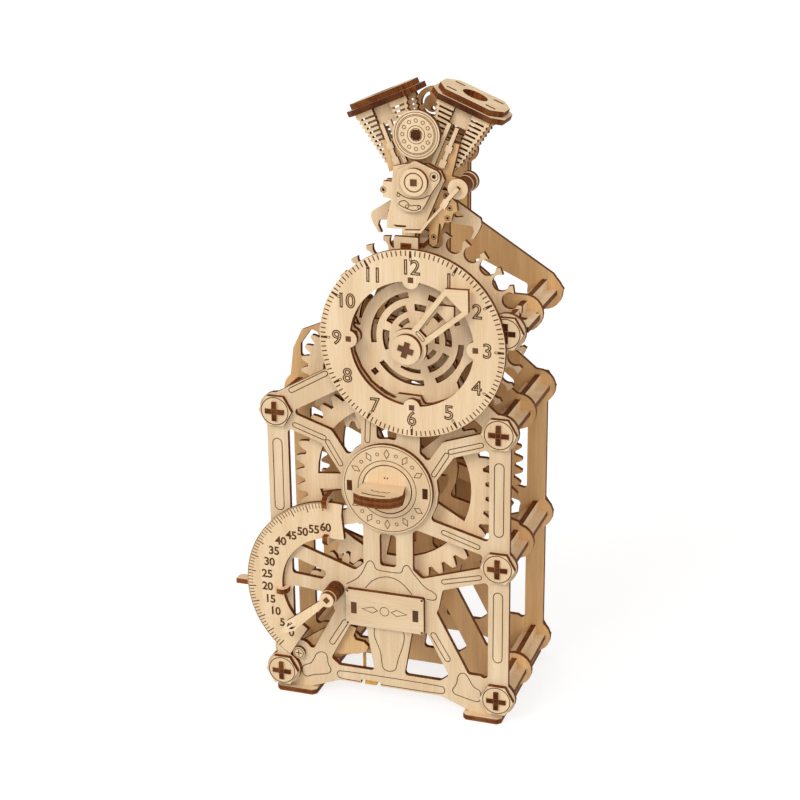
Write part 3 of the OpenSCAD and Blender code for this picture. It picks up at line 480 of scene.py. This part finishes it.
# ---------- lines on the frame ----------
def engrave_front_plate():
    plate = Engraving("front_plate_lines", "frame", -LIFT)
    # Long slots on the uprights
    plate.capsule((-63.2, 99.5), (-63.2, 136.5), 2.7)
    plate.capsule((62.6, 99.5), (62.6, 136.5), 2.6)
    plate.capsule((62.6, 24.5), (62.6, 61.5), 2.6)
    # Short slots on the braces
    for s in (-1, 1):
        plate.capsule((s * 26.5, 128.5), (s * 33.6, 140.4), 1.3)
        plate.capsule((s * 35.8, 142.6), (s * 52.6, 148.2), 1.3)
        plate.capsule((s * 26.0, 33.0), (s * 34.0, 19.6), 1.6)
    # Pockets in the two lower corners
    plate.smooth([
        (-52.9, 0.6), (-51.1, 2.4), (-47.3, 3.7), (-45.2, 7.6), (-43.8, 10.7), (-41, 12.4), (-38, 11.6),
        (-37, 8.9), (-37.1, 5.4), (-35.2, 2.1), (-35.6, -0.1), (-38, -1.5), (-46.2, -3.2), (-50.3, -5.4),
        (-52.7, -3.6)], closed=True)
    plate.smooth([
        (36.6, 1.2), (39.3, 4.6), (39.9, 10), (42, 12.5), (44.8, 12), (46.9, 8.3), (49.1, 4.5), (53.5, 2.9),
        (53, -4.3), (48.1, -3.9), (42.6, -2.5), (37.7, -1.6)], closed=True)
    # Slots on the arms to the right, to the left and up to the dial
    plate.capsule((32, 95.6), (51, 89.6), 1.3)
    plate.capsule((32, 66.3), (52, 71.6), 1.3)
    plate.capsule((-54, 168), (-34, 179.5), 1.4)
    plate.capsule((-10.8, 144), (-10.2, 156), 1.4)
    # The bottom rail's slot, and the tongue above it
    plate.smooth([
        (-17.6, -3), (-29.4, -3), (-31.4, -1.6), (-31.4, 1), (-29.4, 2.3), (30.4, 2.3), (32.4, 1),
        (32.4, -1.6), (30.4, -2.9), (-5.2, -2.9)], rounds=3)
    plate.smooth([
        (-8.6, 32), (-9, 27.4), (-6.8, 22.2), (-4.9, 16.9), (-4.4, 8.6), (-2.6, 6.6), (0.4, 6.2), (3.9, 7.8),
        (4.9, 14.3), (7.6, 21.7), (9.3, 28.9), (8.4, 32)])
    # Shoulders and arch over the name plate
    plate.smooth([
        (-24.6, 57), (-20.6, 59.6), (-17.7, 61.6), (-14.6, 66.2), (-12.5, 71.9), (-10.2, 73.4), (-8.3, 71.8),
        (-7.7, 69.2), (-6.1, 67.9), (6.2, 67.7), (8.1, 68.9), (8.8, 72.2), (10.9, 73.5), (12.6, 72),
        (14.4, 68.8), (17.1, 66), (20.9, 61.2), (27.2, 58.8), (28, 56), (26.4, 54.2), (22.1, 54.4)])
    plate.smooth([(-13.6, 56), (-10.1, 60.7), (-4.8, 63.9), (0.2, 64.9), (5.5, 63.7), (10, 60.3), (13.6, 56)])
    plate.make()


def engrave_post_ends():
    """Rings on the nuts, and the seams where the two boards of each post cross."""
    low, upper = POSTS[3:4], POSTS[5:]
    others = POSTS[:3] + POSTS[4:5]
    for name, depth, places in (("nut_rings", -T, others + upper), ("low_nut_ring", -2 * T, low)):
        rings = Engraving(name, "frame", depth - LIFT)
        for p in places:
            rings.circle(p, 7.8, 0.52, 48)
        rings.make()
    reach, half = 5.2, 1.4
    for name, tip, places in (("post_seams", -T - 1, others), ("low_post_seams", -2 * T - 1, low),
                              ("upper_post_seams", -T, upper)):
        seams = Engraving(name, "frame", tip - LIFT, ink=seam)
        for x, z in places:
            for s in (-half, half):
                seams.ribbon([(x + s, z - reach), (x + s, z + reach)], 0.3)
                seams.ribbon([(x - reach, z + s), (x + reach, z + s)], 0.3)
        seams.make()


def engrave_key_disc():
    """Two rings with lozenges and dots between them, at the top and the bottom."""
    disc = Engraving("key_disc_lines", "frame", -T - LIFT)
    disc.circle(KEY, 24.5, FINE, 96)
    disc.circle(KEY, 16.5, FINE, 72)
    long, short = 2.6, 1.5
    for k in range(-4, 5):
        for side in (0, 180):
            angle = side + k * 15
            c = clock_point(KEY, 20.4, angle)
            if k % 2:
                disc.circle(c, 0.9, 0.36, 16)
                continue
            ux, uz = clock_point((0, 0), 1, angle)
            disc.ribbon([(c[0] + ux * long, c[1] + uz * long), (c[0] + uz * short, c[1] - ux * short),
                         (c[0] - ux * long, c[1] - uz * long), (c[0] - uz * short, c[1] + ux * short)],
                        FINE, True)
    disc.make()


def engrave_name_plate():
    """A ring between two lozenges, and a dot near each corner."""
    x0, z0 = -1.5, 44.7
    label = Engraving("name_plate_lines", "frame", -T - LIFT)
    for s in (-1, 1):
        label.ribbon([(x0 + s * 4, z0), (x0 + s * 7, z0 + 1.9), (x0 + s * 13, z0), (x0 + s * 7, z0 - 1.9)],
                     FINE, True)
    label.circle((x0, z0), 2.6, FINE, 24)
    for x in (x0 - 21.7, x0 + 21.7):
        for z in (z0 - 9.8, z0 + 9.8):
            label.dot((x, z), 0.7)
    label.make()


def engrave_hour_dial():
    """Two marks to a minute, a bar and a slot at each hour, and the hours in outline."""
    dial = Engraving("hour_dial_lines", "frame", -2 * T - LIFT)
    for k in range(120):
        angle = 3 * k
        if k % 10:
            dial.ribbon([clock_point(HUB, 47.3, angle), clock_point(HUB, 50.1, angle)], HEAVY)
        else:
            dial.ribbon([clock_point(HUB, 46.4, angle), clock_point(HUB, 50.0, angle)], 1.2)
            dial.capsule(clock_point(HUB, 45.3, angle), clock_point(HUB, 47.6, angle), 0.5, 0.36)
    for hour in range(1, 13):
        x, z = clock_point(HUB, 41.0, 30 * hour)
        dial.number(str(hour), x, z, 8.0, True)
    dial.make()


def engrave_seconds_dial():
    """Sixty seconds clockwise from the dial's lower end, numbered by fives."""
    small = Engraving("seconds_dial_lines", "frame", -T - LIFT)
    first, step = 221.5, 2.194
    for k in range(61):
        inner, width = (49.2, 0.45) if k % 5 else (47.6, HEAVY)
        angle = first + step * k
        small.ribbon([clock_point(SEC, inner, angle), clock_point(SEC, 52.0, angle)], width)
    # The last numbers stand nearer to the arbor, clear of one another
    radii = [40.6] * 9 + [39.0, 37.8, 37.2, 37.7]
    for k, radius in enumerate(radii):
        x, z = clock_point(SEC, radius, first + 5 * step * k)
        small.number(str(5 * k), x, z, 5.0, False)
    small.circle(SEC, 52.2, 0.25, 90, -150, -6)
    small.make()


# ---------- lines on the moving parts ----------
def engrave_key():
    turntable = Engraving("turntable_marks", "winder", face_depth("key_turntable"))
    for x in (-0.3, 1.3):
        turntable.dot((x, 124.5), 0.5)
    turntable.make()
    knob_top = (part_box("winding_key")[1].z - ORIGIN.z) / MM + LIFT
    knob = Engraving("winding_key_lines", "winder", 0.0, level=knob_top)
    knob.smooth([(-8.2, -17.8), (-2.5, -19.6), (5.6, -19.4)], 1.1)
    knob.smooth([(-4.6, -12.4), (-3, -14.2), (-1, -13.4), (0.6, -15), (2.6, -13.8), (4.6, -14.8),
                 (6.2, -13)], 0.6)
    knob.make()


def engrave_hand():
    hand = Engraving("minute_hand_lines", "centre", -4 * T - LIFT)
    a, b = near(HUB, [(5.6, 8.7), (8.4, 5.4)])
    hand.capsule(a, b, 0.85, FINE)
    hand.make()


def engrave_cam_boss():
    boss = Engraving("cam_boss_lines", "pendulum", face_depth("cam_boss"))
    boss.circle(SWING, 4.8, 0.6, 40)
    boss.make()


def engrave_lever_pivot():
    """A ring and a cross on the pivot's head."""
    cap = Engraving("lever_pivot_lines", "lever", face_depth("lever_pivot"))
    cap.circle(LEVER, 2.8, 0.36, 24)
    cap.ribbon(near(LEVER, [(-1.7, 0), (1.7, 0)]), 0.6)
    cap.ribbon(near(LEVER, [(0, -1.7), (0, 1.7)]), 0.6)
    cap.make()


# ---------- lines on the engine ----------
def engrave_badge():
    badge = Engraving("badge_lines", "frame", 4.6 - LIFT)
    for r in (11.4, 10.2, 9.6, 4.6, 3.2):
        badge.circle(BADGE, r, 0.32, 60)
    for k in range(12):
        badge.circle(clock_point(BADGE, 7.2, 30 * k), 0.9, 0.34, 12)
    badge.make()


def engrave_cam_cover():
    cover = Engraving("cam_cover_lines", "frame", face_depth("cam_cover"))
    cover.smooth(near(SWING, [(-9.9, -6), (-5.6, -8.7), (-0.9, -9.3), (3.8, -8.7), (7.4, -6.7)]), 0.5)
    cover.smooth(near(SWING, [
        (-9.3, -12.5), (-8.3, -10.8), (-5.6, -10), (-3.6, -11.8), (-2.9, -13), (0.4, -12.2), (3.0, -12.4),
        (2.4, -14.2), (-0.9, -15.4), (-4.6, -14.4)]), 0.46, True)
    for p in near(SWING, [(-9.1, -7.6), (-4.5, -13.2), (2.0, -13.3)]):
        cover.circle(p, 0.85, FINE, 16)
    cover.circle(near(SWING, [(9.9, 2.9)])[0], 2.2, 0.36, 24)
    cover.make()


def engrave_crankcase():
    case = Engraving("crankcase_lines", "frame", face_depth("crankcase_front"))
    case.circle(near(SWING, [(-18.2, -6)])[0], 1.45, 0.32, 18)
    case.ribbon(near(SWING, [(-13, -24.2), (-6, -24.2)]))
    case.make()
    rear = Engraving("crankcase_back_lines", "frame", face_depth("crankcase_back"))
    for p in near(SWING, [(13.8, -8.3), (15.6, -14.7), (14.4, -20), (7, -30.3)]):
        rear.circle(p, 1.35, 0.32, 18)
    rear.make()


engrave_front_plate()
engrave_post_ends()
engrave_key_disc()
engrave_key()
engrave_name_plate()
engrave_hour_dial()
engrave_seconds_dial()
engrave_hand()
engrave_badge()
engrave_cam_boss()
engrave_cam_cover()
engrave_crankcase()
engrave_lever_pivot()


# ---------- staging ----------
FLOOR_HALF, FLOOR_DROP = 14.0, 0.0004   # metres; the floor lies just under the feet


def floor():
    mesh = bpy.data.meshes.new("floor")
    corners = [(sx * FLOOR_HALF, sy * FLOOR_HALF, 0) for sx, sy in ((-1, -1), (1, -1), (1, 1), (-1, 1))]
    mesh.from_pydata(corners, [], [(0, 1, 2, 3)])
    obj = bpy.data.objects.new("floor", mesh)
    bpy.context.scene.collection.objects.link(obj)
    m, tree, shader = new_material("floor_paper")
    n = noise(tree, (3, 3, 3), (0.0, 0.0, 0.0), 2.0, 0.5)
    tree.links.new(ramp(tree, n, [(0.3, grey(0.30)), (0.7, grey(0.32))]), shader.inputs["Base Color"])
    shader.inputs["Emission Color"].default_value = (1.0, 1.0, 1.0, 1.0)
    shader.inputs["Emission Strength"].default_value = 0.76
    shader.inputs["Roughness"].default_value = 0.9
    mesh.materials.append(m)
    obj.location.z = -FLOOR_DROP
    obj.visible_diffuse = False


def sun(name, direction, energy, spread, colour):
    """A sun shining along the direction, its spread in degrees."""
    light = bpy.data.lights.new(name, "SUN")
    light.energy = energy
    light.angle = math.radians(spread)
    light.color = colour
    obj = bpy.data.objects.new(name, light)
    obj.rotation_mode = "QUATERNION"
    obj.rotation_quaternion = Vector(direction).to_track_quat("-Z", "Y")
    bpy.context.scene.collection.objects.link(obj)


def studio_light():
    """Even light from all round, a little warm."""
    world = bpy.data.worlds.new("studio")
    world.use_nodes = True
    background = world.node_tree.nodes["Background"]
    background.inputs["Color"].default_value = (1.0, 0.985, 0.96, 1.0)
    background.inputs["Strength"].default_value = 0.6
    bpy.context.scene.world = world


floor()
studio_light()
sun("key_light", (0.42, 1.0, -0.85), 1.15, 26, (1.0, 0.97, 0.92))
sun("fill_light", (-0.5, 1.0, -0.5), 0.78, 30, (1.0, 0.98, 0.95))
bpy.context.scene.view_settings.view_transform = "Standard"

# The camera's place from the datum, in millimetres, and the angles it looks at, in degrees
CAMERA_AT = (286.607, 475.822, -813.776)
AZIMUTH, ELEVATION, ROLL = 18.905, 19.641, -0.6186
LENS, SENSOR = 77.83, 36


def aim():
    """The camera's axes: across the picture, up it, and back from the object."""
    azimuth, elevation, roll = (math.radians(a) for a in (AZIMUTH, ELEVATION, ROLL))
    right = Vector((math.cos(azimuth), math.sin(azimuth), 0))
    level_back = Vector((math.sin(azimuth), -math.cos(azimuth), 0))
    back = level_back * math.cos(elevation) + Z * math.sin(elevation)
    up = back.cross(right)
    across = right * math.cos(roll) + up * math.sin(roll)
    upward = up * math.cos(roll) - right * math.sin(roll)
    return Matrix((across, upward, back)).transposed().to_4x4()


camera = bpy.data.objects.new("camera", bpy.data.cameras.new("camera"))
bpy.context.scene.collection.objects.link(camera)
camera.data.lens = LENS
camera.data.sensor_width = SENSOR
camera.data.clip_start, camera.data.clip_end = 0.01, 60
camera.matrix_world = Matrix.Translation(at(*CAMERA_AT)) @ aim()
bpy.context.scene.camera = camera
